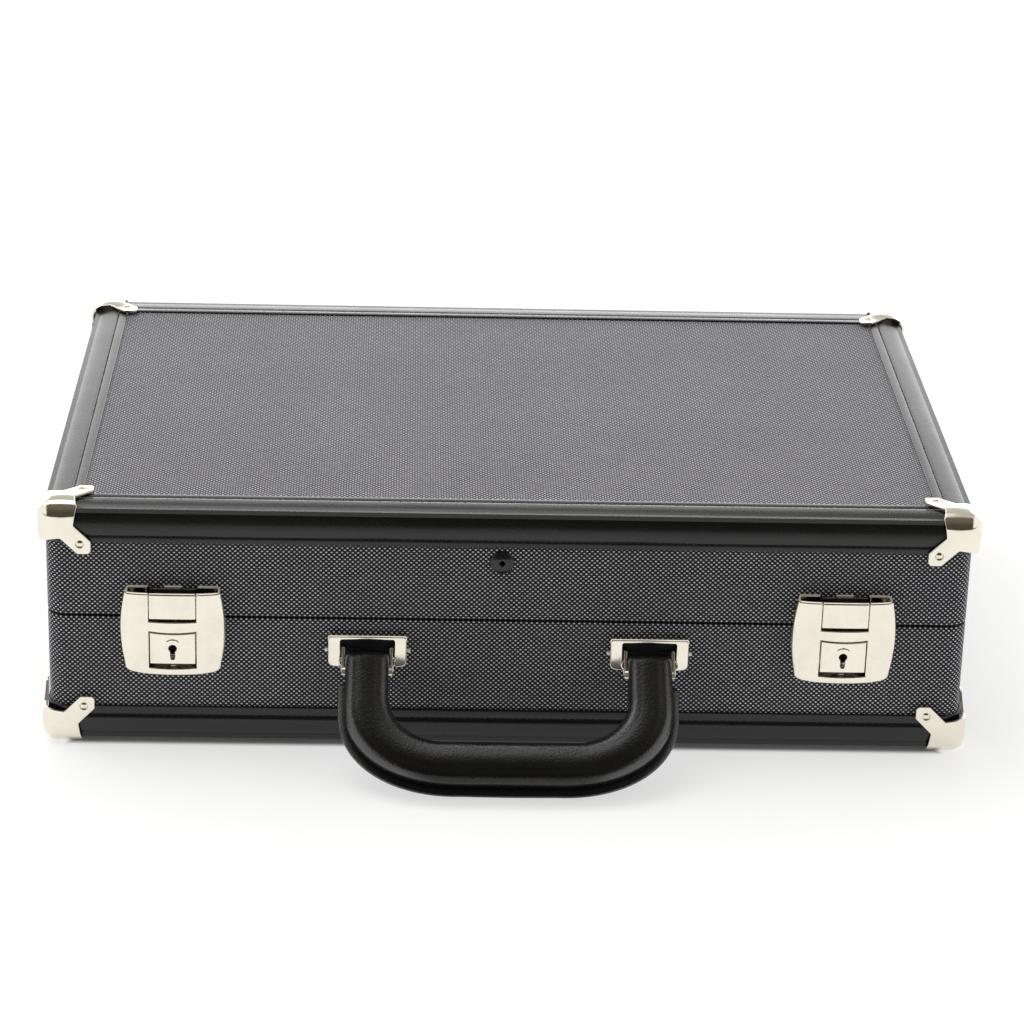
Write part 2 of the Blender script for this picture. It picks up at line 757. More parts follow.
def binding_profile(side_stitch):
    """(outwards, towards the face) points of a binding over an edge, from face to wall."""
    edge = -TRIM_W
    sewn = edge + FACE_STITCH
    low = -TRIM_H
    side = low + side_stitch
    return [
        (edge, 0.06), (edge, 0.52), (edge + 0.10, 0.74), (edge + 0.32, 0.88),
        (edge + 0.8, 0.96),
        # groove on the face
        (sewn - 0.62, 0.98), (sewn - 0.36, 0.90), (sewn - 0.14, 0.62), (sewn + 0.12, 0.58),
        (sewn + 0.34, 0.80), (sewn + 0.62, 0.92), (sewn + 1.6, 0.95),
        # padded turn over the edge
        (-9.6, 0.95), (-8.2, 0.93), (-6.8, 0.87), (-5.5, 0.76), (-4.4, 0.61), (-3.5, 0.42),
        (-2.7, 0.20), (-2.05, -0.06), (-1.5, -0.37), (-1.05, -0.70), (-0.66, -1.06),
        (-0.32, -1.45), (-0.03, -1.88), (0.22, -2.32), (0.42, -2.75), (0.62, -3.3),
        (0.78, -4.0), (1.02, -5.0), (1.22, -6.1), (1.36, -7.3), (1.44, -8.6), (1.49, -9.9),
        # groove on the wall
        (1.28, side + 1.3), (1.12, side + 0.60), (0.92, side + 0.34), (0.64, side + 0.12),
        (0.66, side - 0.14), (0.92, side - 0.36), (1.00, side - 0.62),
        (0.96, low + 0.8), (0.88, low + 0.32), (0.74, low + 0.10), (0.52, low), (0.06, low),
        (0.06, 0.06),
    ]


def stitch_row(part, side, out, z, margin, outward):
    """Short stitches along a wall's straight length, each dipping at its ends."""
    start, end = (Vector((*ring_point((side, t), out), z)) for t in (-1, 1))
    along = (end - start).normalized()
    start, end = start + along * margin, end - along * margin
    outward = Vector(outward)
    length = (end - start).length
    count = int(length / STITCH_PITCH)
    first = (length - count * STITCH_PITCH) / 2
    for k in range(count):
        place = first + k * STITCH_PITCH + random.uniform(-0.12, 0.12)
        jitter = Vector([random.uniform(-0.06, 0.06) for _ in range(3)])
        line = []
        for share, height, _ in STITCH:
            distance = max(0.0, min(length - 1e-6, place + STITCH_LENGTH * share))
            point = start.lerp(end, distance / length)
            line.append(point + outward * height + jitter * (1 - abs(2 * share - 1)))
        tube(line, [STITCH_R * share for _, _, share in STITCH], 6, part=part)


for level, body, face_z, sign in LEVELS:
    side_stitch = SIDE_STITCH[level]
    for i, side in enumerate(ORDER):
        profile = [(out, face_z + sign * t) for out, t in binding_profile(side_stitch)]
        part = sweep(profile, side_stations(i))
        bmesh.ops.remove_doubles(part, verts=part.verts, dist=0.002)
        bmesh.ops.dissolve_degenerate(part, edges=part.edges, dist=0.0002)
        make(f"{level}_binding_{side}", part, BINDING, body,
             [f"{level}_trim_{side}"], 40)
        part = bmesh.new()
        stitch_row(part, side, -TRIM_W + FACE_STITCH - 0.02, face_z + sign * 0.66, 11.0,
                   (0, 0, sign))
        stitch_row(part, side, 0.66, face_z + sign * (-TRIM_H + side_stitch), 2.0,
                   OUTWARD[side])
        make(f"{level}_stitching_{side}", part, THREAD, body, angle=60)

# ---------------------------------------------------------------- drawn corner caps
CAP_R = 6.0
CAP_T = 0.9
CAP_NAIL = 19.0  # from the corner, both ways
# (x, y) outline in the first quadrant of a leg pattern centred on the corner
CAP_QUADRANT = [
    (17.9, 0.0), (16.9, 6.0), (16.3, 10.2), (23.7, 17.6), (23.9, 18.2), (23.9, 22.6),
    (22.6, 23.9), (18.2, 23.9), (17.6, 23.7), (10.2, 16.3), (6.0, 16.9), (0.0, 17.9),
]
NAIL = [(0, 0.10), (0.55, 0.14), (1.05, 0.26), (1.45, 0.43), (1.75, 0.60), (1.92, 0.70),
        (1.93, 1.0)]  # (radius, depth)


def cap_surface(u, v, w):
    """Place of (u, v) from the corner on the z face, with the case in the negative octant."""
    point = Vector((-u, -v, 0.0))
    centre = Vector((min(point.x, -CAP_R), min(point.y, -CAP_R), -CAP_R))
    bulge = 0.62 * math.exp(-((u - 10.5) ** 2 + (v - 10.5) ** 2) / (2 * 5.0**2))
    return centre + (point - centre).normalized() * (CAP_R - w + bulge)


def cap_mesh():
    outline = CAP_QUADRANT + [(-x, y) for x, y in CAP_QUADRANT[::-1]][1:]
    outline += [(-x, -y) for x, y in CAP_QUADRANT][1:]
    outline += [(x, -y) for x, y in CAP_QUADRANT[::-1]][1:-1]
    holes = [circle(sx * CAP_NAIL, sy * CAP_NAIL, 1.95, 28) for sx in (-1, 1) for sy in (-1, 1)]
    leg = plate([fillet(outline, 1.1, 3)] + holes, [0.32] + [0.10] * 4, CAP_T, 4)
    # only the first quadrant is kept
    for axis in ((1, 0, 0), (0, 1, 0)):
        bisect(leg, 0, axis, clear=True)
    cuts = [CAP_R * (1 - math.tan(math.radians(45 - 45 * k / 9))) for k in range(1, 9)]
    cuts += [CAP_R] + spread(CAP_R, 24.0, 0.9)
    grid_cut(leg, cuts, cuts)
    # the nail that holds each leg, its head sunk in the hole
    merge(leg, moved(lathe(NAIL, 24), lambda u, v, w: (u + CAP_NAIL, v + CAP_NAIL, w)))
    whole = bmesh.new()
    for turn in range(3):
        piece = leg.copy()
        for vert in piece.verts:
            point = cap_surface(*vert.co)
            vert.co = Vector([point[(axis - turn) % 3] for axis in range(3)])
        merge(whole, piece)
    leg.free()
    bmesh.ops.remove_doubles(whole, verts=whole.verts, dist=0.004)
    return whole


cap_master = cap_mesh()
for level, body, face_z, sign in LEVELS[::-1]:
    for end, sy in (("front", -1), ("back", 1)):
        for side, sx in SIDES:
            part = moved(cap_master.copy(), lambda x, y, z: (
                sx * (HALF_X + CAP_OUT + x),
                sy * (HALF_Y + CAP_OUT + y),
                max(cad_lo.z * 1000, face_z + sign * (CAP_OUT + z)),
            ))
            make(f"{level}_corner_{end}_{side}", part, NICKEL, body,
                 [f"cap_{level}_{end}_{side}"], 42)
cap_master.free()

# ---------------------------------------------------------------- latches
OPENING = 10.75  # half width of the window and of the notch above it
NOTCH_Z = 61.5
WINDOW_LOW, WINDOW_HIGH = 38.68, 56.65
KEY_Z = 48.4
KNUCKLE_Y, KNUCKLE_Z = FRONT - 1.9, 74.4
TAB_Y, TAB_Z = (-0.85, -0.1), (75.45, 76.3)  # raised lips above the rim


def bow(x):
    """How far the latch's front stands out of the wall at x from its middle."""
    x = abs(x)
    return 7.85 - 0.75 * (x / 23.9) ** 2 - 1.75 * max(0.0, (x - 11.0) / 12.9) ** 2


def sag(x, edge, depth):
    """Height of an edge that sags by depth in its middle."""
    return edge - depth * (1 - (x / OPENING) ** 2)


def edge_strip(xs, mid, top, rise):
    """A thin upright lip that follows the bowed face just behind its top edge."""
    section = ((0.38, -0.25), (0.38, rise - 0.06), (0.46, rise), (0.84, rise), (0.84, -0.25))
    part = loft([[(mid + x, FRONT - bow(x) + y, top + z) for y, z in section] for x in xs])
    face_out(part)
    return part


def shade_inside(obj, top):
    """Gives the dark steel to the parts behind the latch's front."""
    for poly in obj.data.polygons:
        y, z = poly.center.y * 1000, poly.center.z * 1000
        if -6.4 < y - FRONT < -0.2 and z < top + 0.4:
            poly.material_index = 1


def latch_knuckle(x, half):
    return placed(barrel(-half, half, 1.3, 0.15, 18), across(x, KNUCKLE_Y, KNUCKLE_Z))


def shell_half(top, low):
    """Right half of the shell's outline, from its top down to the bottom middle."""
    half = []
    for k in range(23):
        share = k / 24
        bulge = 2.85 * math.sin(math.pi * (share * 0.90 + 0.07)) ** 0.9
        half.append((21.0 + bulge, top + (low + 2.6 - top) * share))
    return half + [(half[-1][0] - 0.35, low + 3.0), (20.2, low + 1.75), (18.2, low + 1.15),
                   (14.0, low + 0.62), (9.0, low + 0.22), (4.0, low + 0.03), (0.0, low)]


def shell_face(half, mid, top, low):
    """The bowed front sheet with the window and the notch in its top."""
    outline = half + [(-x, z) for x, z in half[-2::-1]]
    outline += [(-OPENING, top), (-OPENING, NOTCH_Z)]
    outline += [(x, sag(x, NOTCH_Z, 0.35)) for x in (-8, -5, -2.5, 0, 2.5, 5, 8)]
    outline += [(OPENING, NOTCH_Z), (OPENING, top)]
    dense, radii = [], []
    for i in range(len(outline)):
        start, end = Vector(outline[i]), Vector(outline[(i + 1) % len(outline)])
        steps = max(1, int((end - start).length / 2.0))
        for k in range(steps):
            point = start.lerp(end, k / steps)
            dense.append((point.x, point.y))
            if abs(point.x) <= OPENING + 0.01 and point.y > 50:
                radii.append(0.45)
            else:
                radii.append(0.55 if point.y > top - 0.5 else 0.95)
    window = [(x, sag(x, WINDOW_LOW, 0.6)) for x in np.linspace(-OPENING, OPENING, 15)]
    window += [(x, sag(x, WINDOW_HIGH, 0.85)) for x in np.linspace(OPENING, -OPENING, 15)]
    part = plate([dense, window], [radii, 0.32], 1.5, 5)
    grid_cut(part, spread(-24, 24, 1.2), spread(low, top, 3.0))
    return placed(part, lambda u, v, w: (mid + u, FRONT - (bow(u) - w), v))


def shell_wall(half, mid):
    """The wall that closes the shell down to the case, open at the top."""
    path = [(x * 0.985, z) for x, z in half]
    path += [(-x, z) for x, z in path[-2::-1]]
    rows = []
    for i, (x, z) in enumerate(path):
        z = z + 0.35 if z < 60 else z
        before, after = Vector(path[max(i - 1, 0)]), Vector(path[min(i + 1, len(path) - 1)])
        along = (after - before).normalized()
        inner = Vector((x, z)) + Vector((along.y, -along.x)) * 0.8
        outer_y = FRONT - bow(x) + 1.0
        rows.append(((mid + x, outer_y, z), (mid + x, FRONT - 0.1, z),
                     (mid + inner.x, FRONT - 0.1, inner.y), (mid + inner.x, outer_y, inner.y)))
    part = loft(rows)
    face_out(part)
    return part


def latch_shell(side, mid, top, low):
    half = shell_half(top, low)
    shell = shell_face(half, mid, top, low)
    # the wall, and a turned-in ledge under the window
    merge(shell, shell_wall(half, mid),
          front_box(mid, (-10.6, 10.6), (-6.4, -1.2), (37.4, 38.1), 0.15))
    # back flange, its two ends showing above the rim, and the rolled edges at the open top
    rim = bmesh.new()
    for t in (-1, 1):
        x0, x1 = sorted((t * (OPENING + 0.15), t * 20.9))
        ear = [(20.45, -5.9, -0.5), (20.85, -4.6, -0.1), (21.0, -3.0, 0.35),
               (20.6, -1.6, 0.75), (20.0, -0.8, 0.85)]
        ear = tube([(mid + t * x, FRONT + y, top + z) for x, y, z in ear],
                   [0.42, 0.5, 0.5, 0.5, 0.42], 10)
        face_out(ear)
        merge(rim, front_box(mid, (x0 + 0.3, x1 - 0.6), (-1.35, -0.1), TAB_Z, 0.16, 3), ear)
        outer_r = [1.1, 0.3] if t > 0 else [0.3, 1.1]
        outline = rounded_rect(x0, 62.0, x1, 76.2, [0.2, 0.2] + outer_r, 4)
        merge(shell, placed(plate([outline], [0.3], 0.8, 2), to_front(mid, FRONT - 0.95)))
    for t in (-1, 1):
        xs = [t * x for x in np.linspace(OPENING + 0.25, 20.5, 12)]
        merge(shell, edge_strip(xs, mid, top, 0.48))
    make(f"latch_rim_{side}", rim, EDGE, "case_body", angle=60, orient=False)
    make(f"latch_shell_{side}", shell, NICKEL, "case_body",
         [f"latch_cover_{side}"], 40, orient=False)


def latch_hasp(side, mid, top):
    """A bent sheet whose top turns back over a bead to its knuckles."""
    low, high = box_mm(f"latch_flap_{side}")
    half = (high.x - low.x) / 2
    drop = low.z + 0.35
    bend = 0.75
    straight = top - bend
    outline = rounded_rect(-half, drop, half, top + 4.2, [0.5, 0.5, 0.2, 0.2], 3)
    part = plate([outline], [0.28], 0.85, 3)
    bend_cuts = [straight + bend * math.pi / 2 * k / 6 for k in range(7)]
    grid_cut(part, spread(-half, half, 1.5), spread(drop, straight, 2.5) + bend_cuts)

    def bent(u, v, w):
        front_y = FRONT - bow(u)
        if v <= straight:
            return mid + u, front_y + w, v
        a = (v - straight) / bend
        if a <= math.pi / 2:
            return (mid + u, front_y + bend - (bend - w) * math.cos(a),
                    straight + (bend - w) * math.sin(a))
        return (mid + u, front_y + bend + (v - straight - bend * math.pi / 2),
                straight + bend - w)

    placed(part, bent)
    merge(part, *(latch_knuckle(mid + t * 7.3, 3.0) for t in (-1, 1)))
    # a rectangular frame of four bars behind the sheet's lower edge
    for xs, ys, r in (((-8.0, 8.0), (-7.2, -6.1), 0.15), ((-8.0, 8.0), (-3.9, -3.2), 0.15),
                      ((-8.0, -3.1), (-6.3, -3.7), 0.1), ((3.1, 8.0), (-6.3, -3.7), 0.1)):
        merge(part, front_box(mid, xs, ys, (drop, drop + 0.8), r))
    strip = edge_strip(list(np.linspace(-half + 0.2, half - 0.2, 14)), mid, top, 0.42)
    make(f"latch_hasp_edge_{side}", strip, NICKEL, f"flap_{side}", angle=30)
    hasp = make(f"latch_hasp_{side}", part, (NICKEL, DARK_STEEL), f"flap_{side}",
                [f"latch_flap_{side}"], 40, orient=False)
    shade_inside(hasp, top)


def latch_leaf(side, mid, top):
    """The leaf behind the flap, with the middle knuckle and a raised tab."""
    outline = [(-9.9, 62.3), (9.9, 62.3), (9.9, 72.6), (4.0, 72.6),
               (4.0, 76.2), (-4.0, 76.2), (-4.0, 72.6), (-9.9, 72.6)]
    outline = fillet(outline, [0.6, 0.6, 0.6, 0.3, 0.7, 0.7, 0.3, 0.6], 3)
    part = placed(plate([outline], [0.2], 0.6, 2), to_front(mid, FRONT - 0.72))
    merge(part, latch_knuckle(mid, 3.9))
    tab = front_box(mid, (-3.9, 3.9), TAB_Y, TAB_Z, 0.16, 3)
    make(f"latch_tab_{side}", tab, EDGE, "lid", angle=60)
    for t in (-1, 1):
        rivet = lathe([(0, -0.35), (0.9, -0.3), (1.3, 0.0), (1.4, 0.25)], 16)
        merge(part, placed(rivet, to_front(mid + t * 6.3, FRONT - 0.95, 66.4)))
    leaf = make(f"latch_hinge_leaf_{side}", part, (NICKEL, DARK_STEEL), "lid",
                [f"latch_leaf_{side}", f"latch_pin_{side}"], 40, orient=False)
    shade_inside(leaf, top)


def latch_button(side, mid):
    """Push button with its keyhole and a pressed arc above it."""
    box_low, box_high = box_mm(f"latch_button_{side}")
    half = (box_high.x - box_low.x) / 2 + 0.15
    low, top = box_low.z + 0.1, WINDOW_HIGH - 0.35
    outline = [(-half, low), (half, low)]
    outline += [(x, sag(x, top, 0.85)) for x in np.linspace(half, -half, 15)]
    key_half = 1.05
    foot = [(-1, 4.6), (-0.75, 5.15), (-0.3, 5.35), (0.3, 5.35), (0.75, 5.15), (1, 4.6)]
    keyhole = arc(0, KEY_Z, 1.85, -55, 235, 22)
    keyhole += [(key_half * share, KEY_Z - fall) for share, fall in foot]
    part = plate([outline, keyhole], [0.34, 0.38], 1.1, 4)
    grid_cut(part, spread(-half, half, 0.45), spread(low, top, 0.45))

    def pressed(u, v, w):
        a = math.degrees(math.atan2(v - KEY_Z, u))
        fade = clamp((a + 5) / 35) * clamp((185 - a) / 35)
        t = clamp((4.75 - math.hypot(u, v - KEY_Z)) / 0.6)
        boss = 0.20 * fade * t * t * (3 - 2 * t)
        return mid + u, FRONT - (bow(u) + 0.28 + boss - w), v

    placed(part, pressed)
    # the block and bolt behind the face
    for xs, ys, zs in (((-6.8, -3.7), (-7.2, -3.4), (44.0, 54.2)),
                       ((3.7, 6.8), (-7.2, -3.4), (44.0, 54.2)),
                       ((-3.9, 3.9), (-7.2, -3.4), (52.0, 54.2)),
                       ((-2.6, 2.6), (-5.6, -4.4), (53.5, 60.4))):
        merge(part, front_box(mid, xs, ys, zs, 0.15))
    make(f"latch_push_{side}", part, NICKEL, f"button_{side}",
         [f"latch_button_{side}"], 34, orient=False)


def latch_lock(side, mid):
    """Lock plug: a round face with the key slot, and the cam behind it."""
    slot = rounded_rect(-0.55, -2.6, 0.55, 1.4, 0.15, 2)
    part = plate([circle(0, 0, 3.2, 40), slot], [0.25, 0.1], 4.4, 3)
    placed(part, to_front(mid, FRONT - 6.75, KEY_Z))
    merge(part, front_box(mid, (-1.4, 1.4), (-2.9, -1.95), (KEY_Z - 5.2, KEY_Z + 1.0), 0.2))
    make(f"key_plug_{side}", part, LOCK_STEEL, f"plug_{side}",
         [f"lock_plug_{side}"], 40, orient=False)


def latch_base(side, mid):
    """Base plate against the wall, and two ribs in the shell."""
    low, high = box_mm(f"latch_base_{side}")
    outline = rounded_rect(low.x, low.z, high.x, high.z, 1.5, 4)
    part = placed(plate([outline], [0.2], 0.8, 2), to_front(0.0, FRONT - 1.1))
    for x in (-8.0, 8.0):
        merge(part, front_box(mid, (x - 0.6, x + 0.6), (-4.6, -1.0), (42.0, 55.0), 0.2))
    make(f"latch_back_plate_{side}", part, STEEL, "case_body",
         [f"latch_base_{side}"], 40, orient=False)


for side, _ in SIDES:
    low, high = box_mm(f"latch_cover_{side}")
    mid = middle(f"latch_cover_{side}")
    top = high.z - 0.7
    latch_shell(side, mid, top, low.z)
    latch_hasp(side, mid, top)
    latch_leaf(side, mid, top)
    latch_button(side, mid)
    latch_lock(side, mid)
    latch_base(side, mid)

# ---------------------------------------------------------------- round plug on the lid's front
low, high = box_mm("front_plug")
plug_x, plug_z = middle("front_plug"), middle("front_plug", 2)
plug_r = (high.z - low.z) / 2
square = fillet([(0, -1.5), (1.5, 0), (0, 1.5), (-1.5, 0)], 0.25, 3)
part = plate([circle(0, 0, plug_r, 72), square], [0.42, 0.40], 1.7, 5)
grid_cut(part, spread(-plug_r, plug_r, 0.5), spread(-plug_r, plug_r, 0.5))


def domed(u, v, w):
    """Crowns the face, with a fine raised ring and a dip round the square hole."""
    r = math.hypot(u, v)
    crown = 1.02 * (1 - (r / plug_r) ** 2)
    crown -= 0.03 * math.exp(-((r - 2.9) ** 2) / 0.12) + 0.13 * math.exp(-((r / 1.9) ** 4))
    return plug_x + u, FRONT - 1.12 - (crown if w < 0.6 else 0.0) + w, plug_z + v


# exp(-(r / 1.9) ** 4) is the dip, exp(-(r - 2.9) ** 2 / 0.12) the ring
placed(part, domed)
well = lathe([(0, 1.2), (1.3, 1.2), (1.3, 1.6), (0, 1.6)], 4)
stem = lathe([(0, 0.3), (2.4, 0.3), (2.4, 5.6), (2.0, 6.0), (0, 6.0)], 24)
merge(part, placed(well, to_front(plug_x, FRONT - 1.5, plug_z)),
      placed(stem, to_front(plug_x, FRONT - 0.6, plug_z)))
make("lid_plug", part, PLASTIC, "lid", ["front_plug"], 40, orient=False)

# ---------------------------------------------------------------- handle
# its own frame: x across, s along the legs from the pivot, m towards the seen face
pivot = Vector(joint_place("handle_swing")) * 1000
polygons = frame["nodes"]["handle_front"].data.polygons
seen_faces = [p for p in polygons if p.normal.y < -0.3 and p.normal.z > 0.3]
facing = max(seen_faces, key=lambda p: p.area).normal
rest = math.atan2(-facing.y, facing.z)
along = Vector((0, -math.cos(rest), -math.sin(rest)))
normal = Vector((0, -math.sin(rest), math.cos(rest)))
LEG_START = 1.5
LEG_STATIONS = (1.5, 1.7, 2.1, 2.6, 3.2, 4.0, 5.0, 6.2, 7.2, 8.4, 10.0, 12.5, 15.0, 16.0,
                17.0, 18.0, 19.0, 21.0)


def on_handle(x, s, m):
    return pivot + Vector((x, 0, 0)) + along * s + normal * m


def quarter(cx, cy, width, height, power, steps=26):
    """A quarter of a superellipse."""
    points = []
    for i in range(steps + 1):
        a = math.pi / 2 * i / steps
        points.append((cx + width * max(0.0, math.cos(a)) ** (2 / power),
                       cy + height * math.sin(a) ** (2 / power)))
    return points


def handle_path():
    """Pairs of inner and outer points from the right leg's end round to the left one's."""
    pairs = [((54.4, s), (74.2, s)) for s in LEG_STATIONS]
    inner = quarter(30.0, 24.0, 24.4, 23.4, 2.0)
    outer = quarter(22.0, 30.0, 52.2, 38.4, 2.2)
    pairs += zip(inner, outer)
    pairs += [((x * 30 / 22, 47.4), (x, 68.4)) for x in (14.0, 7.0, 0.0)]
    return pairs + [((-a[0], a[1]), (-b[0], b[1])) for a, b in pairs[-2::-1]]


def handle_loft(section):
    """section(s, width) gives (distance from the inner edge, height m) points."""
    rows = []
    for inner, outer in handle_path():
        start = Vector(inner)
        width = (Vector(outer) - start).length
        outward = (Vector(outer) - start) / width
        row = []
        for distance, m in section(min(inner[1], outer[1]), width):
            point = start + outward * distance
            row.append(on_handle(point.x, point.y, m))
        rows.append(row)
    return loft(rows)


def front_section(s, width):
    shoulder = between(s, [1.5, 2.0, 2.6, 3.2, 4.0, 5.0, 6.2, 7.6],
                       [3.4, 3.95, 4.2, 4.55, 5.8, 6.95, 7.7, 8.0]) - 0.75
    outer_r = 4.6
    inner_r = between(s, (22, 36), (outer_r, outer_r + 1.6))
    base = between(s, (LEG_START, 5), (-0.9, -2.25))
    points = [(0.5, base), (0.12, base + 0.4)]
    for k in range(9):
        a = math.pi / 2 * k / 8
        points.append((inner_r * (1 - math.cos(a)),
                       shoulder - (inner_r * 0.92) * (1 - math.sin(a))))
    flat = width - outer_r - inner_r
    for k in range(1, 8):
        share = k / 8
        points.append((inner_r + flat * share, shoulder + 0.75 * (1 - (2 * share - 1) ** 2)))
    for k in range(9):
        a = math.pi / 2 * (1 - k / 8)
        points.append((width - outer_r * (1 - math.cos(a)),
                       shoulder - (outer_r * 0.92) * (1 - math.sin(a))))
    return points + [(width - 0.12, base + 0.4), (width - 0.5, base)]


def back_section(s, width):
    flange = between(s, (15.6, 17.2), (0.0, 3.3))  # reach beyond the outer edge
    deep = -1.6 - 4.9 * math.sin(math.pi / 2 * between(s, (LEG_START, 8), (0, 1)))
    top = between(s, (LEG_START, 5), (-1.2, -2.5))
    mid = min(top - 0.1, max(deep + 1.9, -4.6))
    turn = (mid + deep) / 2 - 0.35
    rim = width + flange
    return [
        (0.9, top), (0.25, top - 0.15), (0.0, top - 0.5), (0.0, mid), (0.35, turn),
        (1.3, deep + 0.12), (2.4, deep), (width - 2.4, deep), (width - 1.3, deep + 0.12),
        (width - 0.35, turn), (width, mid),
        (width + flange * 0.5, mid + (0.05 if flange else 0)),
        (rim - min(flange, 0.45), mid + 0.05), (rim - min(flange, 0.1), mid + 0.35),
        (rim, -3.6), (rim - min(flange, 0.1), top - 0.35),
        (rim - min(flange, 0.4), top - 0.05), (width - 0.9, top),
    ]


grip = make("handle_grip_front", handle_loft(front_section), GRIP, "handle",
            ["handle_front"], 50)
# gloss across the section, starting at its third point on the inner side
RUB = (-0.5, -0.5, -0.45, -0.3, 0.0, 0.25, 0.42, 0.42, 0.25, 0.1, 0.03)
count = len(front_section(30.0, 20.0))
row = [0.0, 0.0, *RUB] + [0.0] * (count - 2 - len(RUB))
rub = grip.data.attributes.new("rub", "FLOAT", "POINT")
rub.data.foreach_set("value", [row[i % count] for i in range(len(grip.data.vertices))])
make("handle_grip_back", handle_loft(back_section), GRIP, "handle",
     ["handle_back"], 46)

# ends of the steel core: flat links beside each leg, eyes on the pin, and a bar inside
part = bmesh.new()
for side, _ in SIDES:
    mid = middle(f"handle_plate_{side}")
    for t in (-1, 1):
        shape = [(0.1, 12.4), (-1.5, 12.4)] + arc(0, 0, 1.8, 150, 380, 16) + [(0.1, 3.0)]
        link = plate([shape, circle(0, 0, 1.2, 16)], [0.2, 0.15], 1.35, 2, 0.15)
        centre = mid + t * 10.92
        merge(part, placed(link, lambda u, v, w: on_handle(centre + w - 0.675, v, u)))
    for t in (-1, 1):
        angles = [2 * math.pi * k / 24 for k in range(24)]
        eye = tube([on_handle(mid + t * 11.55 + 1.1 * math.cos(a), 5.7 + 2.0 * math.sin(a),
                              -0.9 + 0.25 * math.cos(a)) for a in angles],
                   0.44, 8, closed=True)
        face_out(eye)
        tail = ((7.2, -1.0), (7.7, -0.8), (8.6, -0.9), (9.6, -1.2), (10.6, -1.6))  # (s, m)
        tail = tube([on_handle(mid + t * 11.5, s, m) for s, m in tail],
                    [0.5, 0.62, 0.62, 0.55, 0.42], 10)
        face_out(tail)
        merge(part, eye, tail)
    bar = solid_box((-11.4, 8.9, -2.35), (11.4, 12.5, 0.15), 0.3)
    merge(part, moved(bar, lambda u, v, w: on_handle(mid + u, v, w)))
make("handle_links", part, NICKEL, "handle", ["handle_core"], 40, orient=False)

BRACKET_OPENING = 12.35  # half width


def handle_bracket(side, mid, low, high):
    """Bracket round the leg's end, open at the bottom, with a lip along its top."""
    half, opening = (high.x - low.x) / 2, BRACKET_OPENING
    proud = FRONT - low.y
    face_top = high.z - 0.9
    roof = high.z - 2.3
    points = [(-opening, low.z), (-opening, roof), (opening, roof), (opening, low.z),
              (half, low.z), (half, face_top), (-half, face_top), (-half, low.z)]
    outline = fillet(points, [0.7, 1.1, 1.1, 0.7, 2.6, 1.9, 1.9, 2.6], 6)

    def edge_radius(x, z):
        x = abs(x)
        if x <= opening + 0.75 and z < high.z - 1.5:
            return 0.35
        if z > face_top - 0.6:
            return 0.3
        return 0.35 if x <= half - 3.1 and x < opening + 0.9 else 0.8

    part = plate([outline], [[edge_radius(x, z) for x, z in outline]], proud - 0.2, 5)
    placed(part, to_front(mid, FRONT - proud))
    lip_low, lip_roof, inner = high.z - 2.4, high.z - 0.74, half - 0.45
    lip = fillet([(half, lip_low), (half, high.z), (-half, high.z), (-half, lip_low),
                  (-inner, lip_low), (-inner, lip_roof), (inner, lip_roof), (inner, lip_low)],
                 [0.12, 1.9, 1.9, 0.12, 0.12, 1.4, 1.4, 0.12], 6)
    lip = plate([lip], [0.12], proud - 0.1, 2)
    merge(part, placed(lip, to_front(mid, FRONT - proud - 0.14)))
    make(f"handle_bracket_{side}", part, NICKEL, "case_body",
         [f"handle_plate_{side}"], 30, orient=False, weighted=True)


def bracket_recess(side, mid, low, high):
    """Dark backing and roof in the bracket's opening."""
    xs = (-BRACKET_OPENING - 0.3, BRACKET_OPENING + 0.3)
    part = front_box(mid, xs, (-0.26, -0.04), (low.z + 3.4, high.z - 1.0), 0.05)
    merge(part, front_box(mid, xs, (-2.6, -0.3), (high.z - 2.9, high.z - 2.2), 0.1))
    make(f"bracket_recess_{side}", part, RECESS, "case_body", angle=40,
         orient=False)


def handle_pin(side, mid):
    """Pin with a ball at each end, dark inside the opening."""
    low, high = box_mm(f"handle_pin_{side}")
    reach = (high.x - low.x) / 2
    profile = [(0, -reach)]
    for degrees in range(20, 141, 15):
        a = math.radians(degrees)
        profile.append((1.08 * math.sin(a), -reach + 0.95 - 0.95 * math.cos(a)))
    profile.append((0.7, -reach + 1.95))
    profile += [(r, -w) for r, w in profile[::-1]]
    part = moved(lathe(profile, 20), across(mid, pivot.y, pivot.z))
    pin = make(f"handle_pivot_{side}", part, (SATIN, RECESS), "case_body",
               [f"handle_pin_{side}"], 40)
    for poly in pin.data.polygons:
        inside = abs(poly.center.x * 1000 - mid) < BRACKET_OPENING - 0.2
        poly.material_index = 1 if inside else 0


for side, _ in SIDES:
    low, high = box_mm(f"handle_plate_{side}")
    mid = (low.x + high.x) / 2
    handle_bracket(side, mid, low, high)
    bracket_recess(side, mid, low, high)
    handle_pin(side, mid)

# ---------------------------------------------------------------- back hinges
hinge_y, hinge_z = (value * 1000 for value in joint_place("lid_hinge")[1:])
HINGE_SCREW_X, HINGE_SCREW_IN = 9.5, 6.5
SCREW_HEAD = [(0, -0.55), (0.8, -0.48), (1.35, -0.2), (1.7, 0.2), (1.75, 0.8)]


